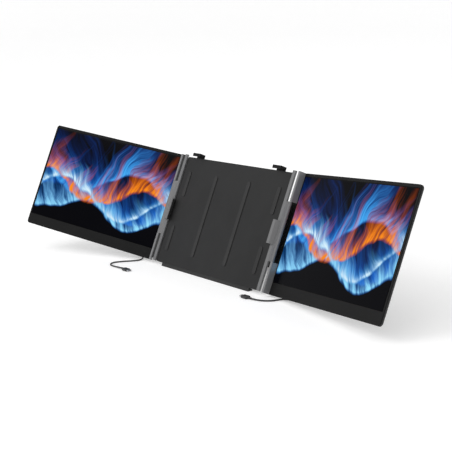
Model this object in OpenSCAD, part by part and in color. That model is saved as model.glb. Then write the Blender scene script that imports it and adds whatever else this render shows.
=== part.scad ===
// Clip-on screen extender for a laptop: two side monitors hinged on spines that slide out of a
// centre bracket. The bracket hangs on the back of the laptop's lid and stands on a kickstand.
// +Z is up, +X is the user's right, the user sits at -Y. The origin is the middle of the desk foot.

/* [Monitors] */
// Width of each side monitor
monitor_w = 354; // [330:1:380]
// Height of each side monitor
monitor_h = 224; // [205:1:245]
// Thickness of each side monitor
monitor_t = 7.2; // [7.2:0.1:9]
// Corner radius of a monitor's outline
monitor_r = 6; // [3:0.5:10]
// Width of the rim beside the glass
side_rim = 3.5; // [3.5:0.1:6]
// Width of the rim above the glass
top_rim = 5.5; // [4:0.5:9]
// Height of the chin below the glass
chin_h = 22.5; // [22:0.5:30]
// Thickness of the front bezel
bezel_t = 1.8; // [1.5:0.1:1.8]
// Wall thickness of the rear cover
shell_t = 1.2; // [1:0.1:1.2]
// How far the rear cover's back edge is drawn in
taper = 2.6; // [1.5:0.1:3]

/* [Screen stack] */
// How far the glass lies below the bezel's face
glass_recess = 0.2; // [0.1:0.05:0.4]
// Thickness of the cover glass
glass_t = 0.7; // [0.5:0.1:0.8]
// Thickness of the LCD module with its backlight
lcd_t = 2.5; // [2:0.1:2.5]
// Thickness of the driver board
board_t = 1; // [0.8:0.1:1.2]

/* [Pose] */
// Lean of the bracket back from vertical
tilt = 28; // [15:1:35]
// How far the left monitor is swung towards the user
left_open = 21; // [0:1:60]
// How far the right monitor is swung towards the user
right_open = 8.5; // [0:0.5:60]

/* [Spines and hinges] */
// Width of a spine's column
column_w = 9; // [7:0.5:10]
// Front-to-back depth of a column
column_d = 4.2; // [4:0.1:6]
// Gap between the bracket's plates and a column
column_gap = 1; // [0.6:0.1:2]
// Radius of the hinge barrels
barrel_r = 2.8; // [2.6:0.1:3.4]
// Radius of the hinge pins
pin_r = 1.2; // [1:0.1:1.4]
// Length of the barrels at a monitor's top and bottom
barrel_h = 56; // [48:1:60]
// Distance of the left hinge axis beyond its column
left_hinge_out = 9; // [8:0.5:16]
// Distance of the right hinge axis beyond its column
right_hinge_out = 17.5; // [16:0.5:24]
// Distance of the left monitor's edge beyond its hinge axis
left_edge_gap = 4; // [3:0.5:4]
// How far the open screens lie behind the face of the front plate
screen_setback = 4.5; // [3.5:0.5:6]

/* [Centre bracket] */
// Width of the bracket's plates
plate_w = 348; // [330:1:348]
// Thickness of the front plate
plate_t = 1.5; // [1:0.1:1.5]
// Depth of the space between the plates
cavity_d = 3; // [3:0.1:5]
// Thickness of the back cover's panel
cover_t = 1.5; // [1.2:0.1:2.5]
// How far the plates stop short of the monitors' height
plate_short = 2; // [2:1:12]
// Thickness of the arms' sliding plates
arm_t = 2.2; // [1.5:0.1:2.4]
// How far the arms' sliding plates stop short of a monitor's top and bottom
arm_short = 62; // [59:1:67]
// Travel of each arm out of the bracket
arm_travel = 28; // [10:1:30]
// Thickness of the silicone pads on the front plate
pad_t = 1; // [0.5:0.1:1.5]

/* [Lid clamps and clips] */
// Clear depth between the front plate and the clamps' pads
lid_slot = 6.8; // [6.4:0.1:8]
// Reach of a clamp's finger over the lid
finger_reach = 5; // [4:0.5:10]
// Thickness of the clamps' and clips' metal
finger_t = 1.5; // [1.2:0.1:2]
// Height of a clamp
clamp_h = 44; // [30:1:50]
// Width of a top clip
clip_w = 26; // [20:1:42]
// Distance of the top clips from the middle
clip_x = 134; // [120:1:140]
// Travel of the top clips upwards
clip_travel = 8; // [3:1:10]

/* [Kickstand] */
// Width of the kickstand's panel
kick_w = 170; // [120:1:200]
// Lean of the standing kickstand from vertical
kick_lean = 24; // [20:1:30]
// Height of the kickstand's hinge, along the lean
kick_u = 132; // [130:1:138]
// Thickness of the kickstand's panel
kick_t = 2.2; // [1.5:0.1:3]

/* [Cables] */
// Diameter of the USB-C cables
cable_d = 3; // [2.5:0.1:3.2]

/* [Hidden] */
$fn = 48;
// Running clearance of a pin in its bore, and the gap between parts that slide past each other
run_gap = 0.05;
slide_gap = 0.4;
seam = 0.1;
LEFT = -1;
RIGHT = 1;

// The bracket's own frame leans back; its origin is this high, and it measures up along the lean.
plate_lift = 4.5;
plate_bottom = 2;
plate_top = monitor_h - plate_short;
column_top = plate_top + 4;
cavity_back = plate_t + cavity_d;
cover_back = cavity_back + cover_t;

// Fronts of the stack, counted forward from the front plate: clamps, left and right monitor folded
pad_front = lid_slot;
rubber_t = 0.6;
finger_front = pad_front + rubber_t + finger_t;
fold_gap = 0.6;
left_folded = finger_front + fold_gap;
right_folded = left_folded + monitor_t + fold_gap;
right_edge_gap = 0;
monitor_lift = 1;

// Columns, and the hinge block between the barrels
column_x = plate_w / 2 + column_gap;
column_front = column_d - 1.4;
column_out = column_x + column_w;
column_round = 1.2;
left_hinge_x = column_out + left_hinge_out;
right_hinge_x = column_out + right_hinge_out;
block_gap = 0.5;
block_bottom = monitor_lift + barrel_h + block_gap;
block_top = monitor_lift + monitor_h - barrel_h - block_gap;
middle = monitor_lift + monitor_h / 2;
arm_bottom = monitor_lift + arm_short;
arm_top = monitor_lift + monitor_h - arm_short;
arm_h = arm_top - arm_bottom;
arm_reach = 115;
arm_inner = column_x - arm_reach;
arm_front = plate_t + slide_gap;
arm_back = arm_front + arm_t;
arm_screw_x = column_x + column_w / 2;
arm_screw_heights = [arm_bottom + 8, middle - 2, arm_top - 8];
clamp_below = 25;
clamp_bottom = middle - clamp_below;
clamp_screw_depth = 2;
clamp_face = 3;
stop_inset = 55;
stop_x = column_x - stop_inset;
stop_r = 3;

// Hinge leaves of the monitors: a barrel, a web and a tab inside the rear cover
leaf_t = 2.3;
notch = leaf_t + seam;
wall_back = 4.6;
floor_y = monitor_t - shell_t;
tab_t = 1.5;
lip_w = 16;
lip_gap = 0.3;
tab_len = 18;
tab_inset = 6;
leaf_screw_x = 11;

// Monitor interior
glass_w = monitor_w - 2 * side_rim;
glass_h = monitor_h - top_rim - chin_h;
lcd_inset = 0.7;
lcd_front = glass_recess + glass_t;
bay_x = 30;
bay_len = 40;
bay_h = 20;
port_x = bay_x + bay_len;
port_z = 10.5;
port_size = [7.5, 3.16, 8.94];
board_len = 108;
board_bottom = 3;
board_h = 18.5;
boss_r = 2.2;
key_y = bezel_t + 0.45;
key_t = 1.6;
key_proud = 0.5;
key_lip = 0.3;
power_z = 7.5;
power_len = 4;
menu_z = 13.5;
menu_len = 7;

// USB-C plugs: moulding, strain relief and metal tip
plug_len = 19;
plug_size = [4.8, 10.8];
relief_len = 7;
relief_r = 2.1;
tip_size = [2.4, 8.25];
tip_len = 6.5;
plug_y = bezel_t + seam + plug_size.x / 2;
laptop_plugs = [[-172, -66, 2.6], [172, -28, 2.6]];
cable_gap = 0.02;

// Kickstand
kick_barrel_r = 2.5;
kick_pin_r = 1.2;
kick_foot_r = 2.2;
kick_b = cover_back + kick_barrel_r;
kick_axis_z = plate_lift - kick_b * sin(tilt) + kick_u * cos(tilt);
kick_len = kick_foot_r + (kick_axis_z - kick_foot_r) / cos(kick_lean);
kick_open = tilt + kick_lean;
kick_knuckle = 14.5;
kick_seat_h = 2 * kick_barrel_r + 1.4;

// Fixings of the bracket
cover_screw_r = 1.2;
cover_screw_head = 2.4;
cover_boss_r = 3.5;
cover_screw_inset = [8, 14];
cover_screw_mid = 30;
cover_screws_at = [
    for (side = [-1, 1], x = [cover_screw_mid, plate_w / 2 - cover_screw_inset.x],
        u = [plate_bottom + cover_screw_inset.y, plate_top - cover_screw_inset.y])
    [side * x, u]];

// Top clips
clip_tongue = 34;
clip_bottom = plate_top - clip_tongue;
clip_under = plate_top + 5;
clip_top = clip_under + 3;
clip_lip = 3.4;
spring_len = 17;
spring_turns = 9;
spring_r = 1.05;
spring_wire = 0.2;
post_r = 1.5;

// Cable routes over the desk, between the straight runs out of the monitor's and the laptop's plug
left_route = [
    [-236, -1, 16.5], [-233, 1, 12], [-231, 6, 7], [-233, 15, 3], [-240, 28, 2], [-254, 38, 1.8],
    [-272, 38, 1.8], [-280, 26, 1.8], [-270, 16, 1.8], [-253, 12, 1.8], [-236, 6, 1.8],
    [-225, -7, 1.8], [-232, -21, 1.8], [-246, -36, 1.8], [-255, -52, 1.8], [-249, -63, 1.8],
    [-236, -67, 1.8], [-220, -67, 2.2]];
right_route = [
    [241, 9, 12.5], [237, 11.5, 9], [234, 17, 5], [238, 28, 2.5], [248, 42, 1.8], [265, 55, 1.8],
    [288, 59, 1.8], [307, 50, 1.8], [311, 35, 1.8], [300, 23, 1.8], [282, 17, 1.8],
    [267, 14, 1.8], [253, 10, 1.8], [244, 3.5, 1.8], [239.5, -5.5, 1.8], [233, -14.5, 1.8],
    [222, -21.5, 1.8], [210, -26, 2.2]];

// Finishes
charcoal = [0.16, 0.16, 0.165];
grey_alloy = [0.50, 0.50, 0.51];
dark_alloy = [0.26, 0.26, 0.27];
steel = [0.72, 0.72, 0.74];
rubber_black = [0.06, 0.06, 0.06];
board_green = [0.05, 0.25, 0.16];

// ---- Frames -------------------------------------------------------------------------------

// The leaning frame of the bracket: X sideways, Y straight back through it, Z up along the lean
module plate_frame() {
    translate([0, 0, plate_lift]) rotate([-tilt, 0, 0]) children();
}

// The same frame with X pointing outward on either side
module side_frame(side) {
    plate_frame() scale([side, 1, 1]) children();
}

function hinge_x(side) = side == LEFT ? left_hinge_x : right_hinge_x;
function open_angle(side) = side == LEFT ? left_open : right_open;
function edge_gap(side) = side == LEFT ? left_edge_gap : right_edge_gap;
function folded_front(side) = side == LEFT ? left_folded : right_folded;
function hinge_forward(side) = (folded_front(side) - screen_setback) / 2;
function screen_drop(side) = folded_front(side) - hinge_forward(side);
function plate_point(back, up) = [
    back * cos(tilt) + up * sin(tilt), plate_lift - back * sin(tilt) + up * cos(tilt)];

// A monitor's own frame: X along its width from the inner edge, Y back from its face, Z up
module monitor_frame(side) {
    side_frame(side)
        translate([hinge_x(side), -hinge_forward(side), monitor_lift])
            rotate([0, 0, -open_angle(side)])
                translate([edge_gap(side), screen_drop(side), 0])
                    children();
}

// Where a point of a monitor's frame lies
function monitor_point(side, p) =
    let (
        a = open_angle(side),
        w = p.x + edge_gap(side),
        m = p.y + screen_drop(side),
        back = m * cos(a) - w * sin(a) - hinge_forward(side),
        at = plate_point(back, p.z + monitor_lift))
    [side * (hinge_x(side) + w * cos(a) + m * sin(a)), at.x, at.y];

// The kickstand's frame: its panel hangs down -Z from the hinge axis
module kick_frame() {
    plate_frame() translate([0, kick_b, kick_u]) rotate([kick_open, 0, 0]) children();
}

// ---- Shapes -------------------------------------------------------------------------------

// A flat outline in X and Z, made solid between two depths in Y
module slab(front, back) {
    translate([0, back, 0]) rotate([90, 0, 0]) linear_extrude(back - front) children();
}

// A round bar along Y
module rod_y(x, z, front, back, r) {
    translate([x, back, z]) rotate([90, 0, 0]) cylinder(r = r, h = back - front);
}

// An outline in Y and Z, made solid between two places in X
module along_x(from, to) {
    translate([from, 0, 0]) rotate([90, 0, 90]) linear_extrude(to - from) children();
}

module rounded_rect(size, r) {
    translate([r, 0]) square([size.x - 2 * r, size.y]);
    translate([0, r]) square([size.x, size.y - 2 * r]);
    for (x = [r, size.x - r], y = [r, size.y - r]) translate([x, y]) circle(r);
}

// A flat bar's outline with round ends, centred
module stadium(size) {
    r = size.x / 2;
    translate([-r, r - size.y / 2]) square([size.x, size.y - size.x]);
    for (y = [r - size.y / 2, size.y / 2 - r]) translate([0, y]) circle(r);
}

// A countersunk screw along -Y, its head flush at the given depth
module screw(x, z, head_at, length, r, head_r) {
    difference() {
        union() {
            rod_y(x, z, head_at - length, head_at, r);
            translate([x, head_at, z]) rotate([90, 0, 0])
                cylinder(r1 = head_r, r2 = r, h = head_r - r);
        }
        rod_y(x, z, head_at - 0.5, head_at + 1, r * 0.6);
    }
}

// The hole that takes such a screw
module screw_hole(x, z, head_at, length, r, head_r) {
    rod_y(x, z, head_at - length - seam, head_at + seam, r + run_gap);
    translate([x, head_at + seam, z]) rotate([90, 0, 0])
        cylinder(r1 = head_r + seam + run_gap, r2 = r + run_gap, h = head_r - r + seam);
}

// Points along a smooth curve through the given ones
function spline_point(p, i, t) =
    let (a = p[max(i - 1, 0)], b = p[i], c = p[i + 1], d = p[min(i + 2, len(p) - 1)])
    0.5 * (2 * b + (c - a) * t + (2 * a - 5 * b + 4 * c - d) * t * t
        + (3 * b - a - 3 * c + d) * t * t * t);
function smooth_path(p, steps) = concat(
    [for (i = [0 : len(p) - 2], k = [0 : steps - 1]) spline_point(p, i, k / steps)],
    [p[len(p) - 1]]);
function unit(v) = v / norm(v);

// A round tube swept along a path, one polyhedron
module tube(path, r, sides, reference) {
    last = len(path) - 1;
    rings = [for (i = [0 : last])
        let (
            along = unit(path[min(i + 1, last)] - path[max(i - 1, 0)]),
            across = unit(cross(along, reference)),
            over = cross(across, along))
        for (k = [0 : sides - 1])
            let (a = 360 * k / sides) path[i] + r * (cos(a) * across + sin(a) * over)];
    walls = [for (i = [0 : last - 1], k = [0 : sides - 1])
        let (n = (k + 1) % sides)
        [i * sides + k, i * sides + n, (i + 1) * sides + n, (i + 1) * sides + k]];
    start = [for (k = [sides - 1 : -1 : 0]) k];
    end = [for (k = [0 : sides - 1]) last * sides + k];
    polyhedron(points = rings, faces = concat(walls, [start, end]), convexity = 8);
}

// ---- Centre bracket -----------------------------------------------------------------------

module plate_outline(inset) {
    translate([inset - plate_w / 2, plate_bottom + inset])
        rounded_rect([plate_w - 2 * inset, plate_top - plate_bottom - 2 * inset], 4);
}

module cover_screw_holes() {
    for (p = cover_screws_at)
        screw_hole(p.x, p.y, cover_back, cover_back - 0.5, cover_screw_r, cover_screw_head);
}

module front_plate() {
    color(dark_alloy) plate_frame() difference() {
        slab(0, plate_t) plate_outline(0);
        cover_screw_holes();
    }
}

module back_cover() {
    color(dark_alloy) plate_frame() difference() {
        union() {
            slab(cavity_back, cover_back) plate_outline(0);
            slab(plate_t, cavity_back) difference() {
                plate_outline(0);
                plate_outline(2);
                // Mouths for the two arms and their rails
                for (side = [LEFT, RIGHT])
                    translate([side * plate_w / 2 - mouth, arm_bottom - rail_h - 1])
                        square([2 * mouth, arm_h + 2 * rail_h + 2]);
                // Mouths for the two top clips
                for (side = [LEFT, RIGHT])
                    translate([side * clip_x - clip_w / 2 - slide_gap, plate_top - mouth])
                        square([clip_w + 2 * slide_gap, 2 * mouth]);
            }
            for (p = cover_screws_at) rod_y(p.x, p.y, plate_t, cavity_back + seam, cover_boss_r);
            for (side = [LEFT, RIGHT]) {
                rod_y(side * stop_x, middle, plate_t, cavity_back + seam, stop_r);
                rod_y(side * clip_x, spring_bottom - post_r, plate_t, cavity_back + seam, post_r);
            }
        }
        cover_screw_holes();
    }
}

mouth = 10;
rail_h = 4.3;
spring_bottom = clip_bottom - spring_len;

module guide_rails() {
    color(rubber_black) for (side = [LEFT, RIGHT], low = [arm_bottom - rail_h - 0.2, arm_top + 0.2])
        side_frame(side) slab(plate_t, cavity_back)
            translate([arm_inner + 2, low]) square([plate_w / 2 - arm_inner - 4, rail_h]);
}

pad_h = 52;
pad_w = 10;
pad_apart = 8;
outer_pad_x = plate_w / 2 - 24;
inner_pad_x = 55;

module lid_pads() {
    color(rubber_black) plate_frame() slab(-pad_t, 0) {
        // Outer pads stop short of the clamps, so the lid's edge slides in past them
        for (side = [LEFT, RIGHT]) {
            for (u = [clamp_bottom - pad_apart - pad_h, clamp_bottom + clamp_h + pad_apart])
                translate([side * outer_pad_x - pad_w / 2, u]) rounded_rect([pad_w, pad_h], 4);
            translate([side * inner_pad_x - pad_w / 2, clamp_bottom - pad_apart - pad_h])
                rounded_rect([pad_w, clamp_h + 2 * (pad_apart + pad_h)], 4);
        }
    }
}

foot_inset = 24;
foot_front = -2;
foot_back = 10;

module desk_foot() {
    foot_half = plate_w / 2 - foot_inset;
    color(rubber_black) along_x(-foot_half, foot_half)
        polygon([[foot_front, 0], [foot_back, 0],
            plate_point(cover_back, plate_bottom), plate_point(0, plate_bottom)]);
}

module cover_screws() {
    color(steel) plate_frame() for (p = cover_screws_at)
        screw(p.x, p.y, cover_back, cover_back - 0.6, cover_screw_r, cover_screw_head);
}

// ---- Kickstand ----------------------------------------------------------------------------

module kickstand_brackets() {
    color(steel) plate_frame() for (side = [LEFT, RIGHT])
        scale([side, 1, 1]) difference() {
            along_x(kick_w / 2 - kick_knuckle, kick_w / 2) {
                translate([kick_b, kick_u]) circle(kick_barrel_r);
                polygon([[cover_back, kick_u - kick_seat_h / 2], [cover_back, kick_u + kick_seat_h / 2],
                    [kick_b, kick_u + kick_barrel_r], [kick_b, kick_u - kick_barrel_r]]);
            }
            along_x(kick_w / 2 - kick_knuckle - 1, kick_w / 2 - 1)
                translate([kick_b, kick_u]) circle(kick_pin_r + 0.02);
        }
}

module kickstand_pin() {
    half = kick_w / 2 - 1.2;
    color(steel) plate_frame() along_x(-half, half) translate([kick_b, kick_u]) circle(kick_pin_r);
}

module kickstand_panel() {
    barrel_half = kick_w / 2 - kick_knuckle - slide_gap;
    clear = kick_barrel_r + slide_gap + 0.3;
    foot_z = kick_len - kick_foot_r;
    color(dark_alloy) kick_frame() difference() {
        union() {
            along_x(-barrel_half, barrel_half) circle(kick_barrel_r);
            slab(-kick_t / 2, kick_t / 2) {
                translate([-kick_w / 2, -foot_z]) rounded_rect([kick_w, foot_z - clear], 2);
                translate([-barrel_half, -clear - 4]) square([2 * barrel_half, clear + 4]);
            }
        }
        along_x(-kick_w, kick_w) circle(kick_pin_r + run_gap);
    }
}

module kickstand_foot() {
    foot_z = kick_len - kick_foot_r;
    color(rubber_black) kick_frame() difference() {
        along_x(2 - kick_w / 2, kick_w / 2 - 2) translate([0, -foot_z]) circle(kick_foot_r);
        slab(-kick_t / 2, kick_t / 2)
            translate([-kick_w, -foot_z]) square([2 * kick_w, kick_foot_r * 2]);
    }
}

// ---- Top clips ----------------------------------------------------------------------------

module top_clip(side) {
    color(charcoal) side_frame(side) along_x(clip_x - clip_w / 2, clip_x + clip_w / 2) polygon([
        [arm_front, clip_bottom], [arm_front + 2, clip_bottom], [arm_front + 2, clip_top],
        [-finger_front, clip_top], [-finger_front, clip_under - clip_lip],
        [finger_t - finger_front, clip_under - clip_lip], [finger_t - finger_front, clip_under],
        [arm_front, clip_under]]);
}

module clip_pad(side) {
    inner = finger_t - finger_front;
    color(rubber_black) side_frame(side)
        along_x(clip_x - clip_w / 2 + 1, clip_x + clip_w / 2 - 1) polygon([
            [inner, clip_under - clip_lip + 0.4], [inner + rubber_t, clip_under - clip_lip + 0.4],
            [inner + rubber_t, clip_under - rubber_t], [plate_t, clip_under - rubber_t],
            [plate_t, clip_under], [inner, clip_under]]);
}

module clip_spring(side) {
    steps = 8;
    coil_y = (plate_t + cavity_back) / 2;
    rise = spring_len - 2 * spring_wire - 0.2;
    coil = [for (i = [0 : spring_turns * steps])
        let (a = 360 * i / steps)
        [clip_x + spring_r * cos(a), coil_y + spring_r * sin(a),
            spring_bottom + spring_wire + 0.1 + rise * i / (spring_turns * steps)]];
    color(steel) side_frame(side) tube(coil, spring_wire, 5, [0, 0, 1]);
}

// ---- Arms and spines ----------------------------------------------------------------------

// Screws through the arm's plate into the column; the middle one reaches the clamp
function arm_screw_len(i) = arm_back + (i == 1 ? column_front + clamp_screw_depth : column_front - 2);

module arm_screw_holes() {
    for (i = [0 : 2])
        screw_hole(arm_screw_x, arm_screw_heights[i], arm_back, arm_screw_len(i), 1.2, 2.2);
}

module arm_plate(side) {
    color(steel) side_frame(side) difference() {
        slab(arm_front, arm_back) translate([arm_inner, arm_bottom])
            rounded_rect([column_out - 1 - arm_inner, arm_h], 2);
        // Slot for the stop post: its ends limit the arm's travel
        slab(0, cover_back) translate([stop_x - arm_travel - stop_r - 0.3, middle - stop_r - 0.3])
            rounded_rect([arm_travel + 2 * stop_r + 0.6, 2 * stop_r + 0.6], stop_r);
        arm_screw_holes();
    }
}

module hinge_column(side) {
    axis = [hinge_x(side), -hinge_forward(side)];
    back = column_d - column_front;
    color(grey_alloy) side_frame(side) difference() {
        union() {
            translate([0, 0, plate_bottom]) linear_extrude(column_top - plate_bottom)
                translate([column_x, -column_front]) rounded_rect([column_w, column_d], column_round);
            // Seat of the arm's plate
            translate([0, 0, arm_bottom]) linear_extrude(arm_h)
                translate([column_x + 1, 0]) square([column_w - 2, arm_front]);
            // Hinge block with the middle barrel
            translate([0, 0, block_bottom]) linear_extrude(block_top - block_bottom) {
                translate(axis) circle(barrel_r);
                polygon([[column_out - 2, back], [column_out - 2, -column_front],
                    [column_out, -column_front], axis - [0, barrel_r], axis + [0, barrel_r]]);
            }
        }
        translate([axis.x, axis.y, block_bottom - 1])
            cylinder(r = pin_r + 0.02, h = block_top - block_bottom + 2);
        arm_screw_holes();
    }
}

module hinge_pin(side) {
    inset = 2.5;
    color(steel) side_frame(side)
        translate([hinge_x(side), -hinge_forward(side), monitor_lift + inset])
            cylinder(r = pin_r, h = monitor_h - 2 * inset);
}

module lid_clamp(side) {
    tip = column_x - finger_reach;
    soft = 0.6;
    color(grey_alloy) side_frame(side) difference() {
        translate([0, 0, clamp_bottom]) linear_extrude(clamp_h) polygon([
            [tip, finger_t - finger_front], [tip, soft - finger_front], [tip + soft, -finger_front],
            [column_x + clamp_face, -finger_front],
            [column_out, -column_front], [column_x, -column_front],
            [column_x, finger_t - finger_front]]);
        arm_screw_holes();
    }
}

module clamp_pad(side) {
    tip = column_x - finger_reach;
    inner = finger_t - finger_front;
    wall = 1.2;
    color(rubber_black) side_frame(side)
        translate([0, 0, clamp_bottom + 1]) linear_extrude(clamp_h - 2) polygon([
            [tip + 0.5, inner], [tip + 0.5, inner + rubber_t], [column_x - wall, inner + rubber_t],
            [column_x - wall, -0.3], [column_x, -0.3], [column_x, inner]]);
}

module arm_screws(side) {
    color(steel) side_frame(side) for (i = [0 : 2])
        screw(arm_screw_x, arm_screw_heights[i], arm_back, arm_screw_len(i), 1.2, 2.2);
}

// ---- Monitors -----------------------------------------------------------------------------

module monitor_outline(inset) {
    translate([inset, inset])
        rounded_rect([monitor_w - 2 * inset, monitor_h - 2 * inset], max(monitor_r - inset, 1));
}

// The lip of the housing that runs behind the middle barrel, between the leaves
module inner_lip() {
    translate([-lip_w, barrel_h + lip_gap])
        square([lip_w + notch, monitor_h - 2 * (barrel_h + lip_gap)]);
}

// The strips at the inner edge that the hinge leaves fill, widened by a margin
module leaf_strips(width, margin) {
    for (low = [-margin, monitor_h - barrel_h - seam])
        translate([-margin, low]) square([width + margin, barrel_h + seam + margin]);
}

// Countersunk screws that hold the leaves' tabs to the rear cover
function leaf_screw_heights() = [
    tab_inset + 6, barrel_h - tab_inset - 6,
    monitor_h - barrel_h + tab_inset + 6, monitor_h - tab_inset - 6];

module key_hole(z, length) {
    translate([monitor_w - 4, key_y - seam, z - seam]) cube([6, key_t + 2 * seam, length + 2 * seam]);
}

module rear_cover(side) {
    color(charcoal) monitor_frame(side) difference() {
        union() {
            difference() {
                hull() {
                    slab(bezel_t, wall_back) monitor_outline(0, $fn = 32);
                    slab(monitor_t - 0.1, monitor_t) monitor_outline(taper, $fn = 32);
                }
                hull() {
                    slab(bezel_t - 1, wall_back - 0.4) monitor_outline(shell_t, $fn = 32);
                    slab(floor_y - 0.1, floor_y) monitor_outline(taper + 0.8, $fn = 32);
                }
            }
            slab(bezel_t, wall_back) inner_lip();
            // Walls behind the hinge leaves and round the plug bay
            slab(bezel_t, floor_y + seam) for (low = [shell_t, monitor_h - barrel_h - shell_t - seam])
                translate([notch, low]) square([shell_t, barrel_h]);
            slab(bezel_t, floor_y + seam) translate([bay_x - shell_t, shell_t - 0.2])
                square([bay_len + 2 * shell_t, bay_h]);
            // Bosses under the driver board
            for (p = board_bosses) rod_y(p.x, p.y, board_back, floor_y + seam, boss_r);
        }
        slab(0, monitor_t + 1) leaf_strips(notch, 1);
        slab(0, monitor_t + 1) translate([bay_x, -1]) square([bay_len, bay_h]);
        // Slots for the leaves' tabs
        for (low = [tab_inset, monitor_h - barrel_h + tab_inset])
            translate([0, floor_y - tab_t - seam, low - seam])
                cube([tab_len, tab_t + seam, barrel_h - 2 * tab_inset + 2 * seam]);
        for (z = leaf_screw_heights()) screw_hole(leaf_screw_x, z, monitor_t, 2.5, 1, 1.9);
        // Air slots behind the driver board
        for (i = [0 : vent_count - 1])
            translate([vent_x + i * vent_step, floor_y - 1, vent_bottom])
                cube([vent_w, shell_t + 2, vent_h]);
        key_hole(power_z, power_len);
        key_hole(menu_z, menu_len);
        // Mouth of the USB-C port
        translate([port_x + 1, plug_y, port_z]) rotate([90, 0, 90])
            translate([0, 0, -2]) linear_extrude(4) stadium([port_size.y + seam, port_size.z + seam]);
    }
}

board_front = 3.5;
board_back = board_front + board_t;
board_x = port_x + shell_t + 0.3;
vent_count = 14;
vent_step = 4.5;
vent_w = 1.6;
vent_inset = 28;
vent_x = board_x + vent_inset;
vent_bottom = board_bottom + 5;
vent_h = 9;
board_bosses = [[board_x + 20, 6], [board_x + board_len - 5, 6], [board_x + board_len - 5, 18]];
// Each chip's place on the board and its size
chip_t = 1.1;
board_chips = [[45, 4, 12, 12], [63, 5, 8, 9], [80, 6, 6, 6]];

module front_bezel(side) {
    color(charcoal) monitor_frame(side) slab(0, bezel_t) difference() {
        union() {
            monitor_outline(0);
            inner_lip();
        }
        translate([side_rim, chin_h]) square([glass_w, glass_h]);
        leaf_strips(notch, 1);
    }
}

module display_glass(side) {
    color([0.02, 0.02, 0.03]) monitor_frame(side) slab(glass_recess, lcd_front)
        translate([side_rim + seam, chin_h + seam]) square([glass_w - 2 * seam, glass_h - 2 * seam]);
}

module lcd_panel(side) {
    color([0.35, 0.36, 0.38]) monitor_frame(side) slab(lcd_front, lcd_front + lcd_t)
        translate([side_rim + lcd_inset, chin_h + lcd_inset])
            square([glass_w - 2 * lcd_inset, glass_h - 2 * lcd_inset]);
}

module driver_board(side) {
    color(board_green) monitor_frame(side) {
        slab(board_front, board_back) difference() {
            translate([board_x, board_bottom]) square([board_len, board_h]);
            translate([board_x - 1, port_z - port_size.z / 2 - 0.3])
                square([port_x + port_size.x + 1.2 - board_x, port_size.z + 0.6]);
        }
        // Scaler, memory and power chips
        slab(board_back, board_back + chip_t)
            for (chip = board_chips) translate([board_x + chip[0], board_bottom + chip[1]])
                square([chip[2], chip[3]]);
    }
}

module usb_port(side) {
    wall = 0.3;
    color(steel) monitor_frame(side) translate([port_x, plug_y, port_z]) rotate([90, 0, 90])
        difference() {
            linear_extrude(port_size.x) stadium([port_size.y, port_size.z]);
            translate([0, 0, -1]) linear_extrude(port_size.x - wall + 0.5)
                stadium([port_size.y - 2 * wall, port_size.z - 2 * wall]);
        }
}

// A hinge leaf: round barrel in front of the screen's edge, web, and tab inside the rear cover
module hinge_leaf(side, low, bore_low) {
    axis = [-edge_gap(side), -screen_drop(side)];
    color(grey_alloy) monitor_frame(side) difference() {
        union() {
            translate([0, 0, low]) linear_extrude(barrel_h) {
                translate(axis) circle(barrel_r);
                polygon([axis - [barrel_r, 0], axis + [barrel_r, 0], [leaf_t, 0], [leaf_t, floor_y],
                    [leaf_t - 1, floor_y], [0, wall_back], [-1.5, 0]]);
            }
            translate([leaf_t - 0.5, floor_y - tab_t, low + tab_inset])
                cube([tab_len - leaf_t, tab_t, barrel_h - 2 * tab_inset]);
        }
        translate([axis.x, axis.y, bore_low]) cylinder(r = pin_r + run_gap, h = barrel_h);
        for (z = leaf_screw_heights()) screw_hole(leaf_screw_x, z, monitor_t, 2.5, 1, 1.9);
    }
}

module upper_leaf(side) {
    hinge_leaf(side, monitor_h - barrel_h, monitor_h - barrel_h - 2);
}

module lower_leaf(side) {
    hinge_leaf(side, 0, 2);
}

module leaf_screws(side) {
    color(steel) monitor_frame(side) for (z = leaf_screw_heights())
        screw(leaf_screw_x, z, monitor_t, 2.4, 1, 1.9);
}

// A key in the monitor's outer side: its cap, and the flange that keeps it in
module side_key(side, z, length) {
    inside = monitor_w - shell_t;
    color(rubber_black) monitor_frame(side) {
        translate([inside - 1, key_y, z]) cube([1 + shell_t + key_proud, key_t, length]);
        translate([inside - 1, key_y - key_lip, z - 0.5])
            cube([0.97, key_t + 2 * key_lip, length + 1]);
    }
}

// ---- Cables -------------------------------------------------------------------------------

// A USB-C plug's moulding and strain relief; its metal tip points along +X from the origin
module plug_body() {
    translate([-plug_len, 0, 0]) rotate([90, 0, 90]) linear_extrude(plug_len)
        translate([-plug_size.x / 2, -plug_size.y / 2]) rounded_rect(plug_size, 1.8);
    translate([-plug_len - relief_len, 0, 0]) rotate([0, 90, 0])
        cylinder(r = relief_r, h = relief_len);
}

module plug_tip() {
    rotate([90, 0, 90]) linear_extrude(tip_len) stadium(tip_size);
}

module monitor_plug(side) {
    color(rubber_black) monitor_frame(side) translate([port_x - seam, plug_y, port_z]) {
        plug_body();
        plug_tip();
    }
}

// The laptop's end of a cable lies flat on the desk, its tip towards the middle
module laptop_end(side) {
    place = laptop_plugs[side == LEFT ? 0 : 1];
    translate(place) rotate([90, 0, side == LEFT ? 0 : 180]) children();
}

module laptop_plug(side) {
    color(rubber_black) laptop_end(side) plug_body();
}

module laptop_plug_tip(side) {
    color(steel) laptop_end(side) plug_tip();
}

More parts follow.
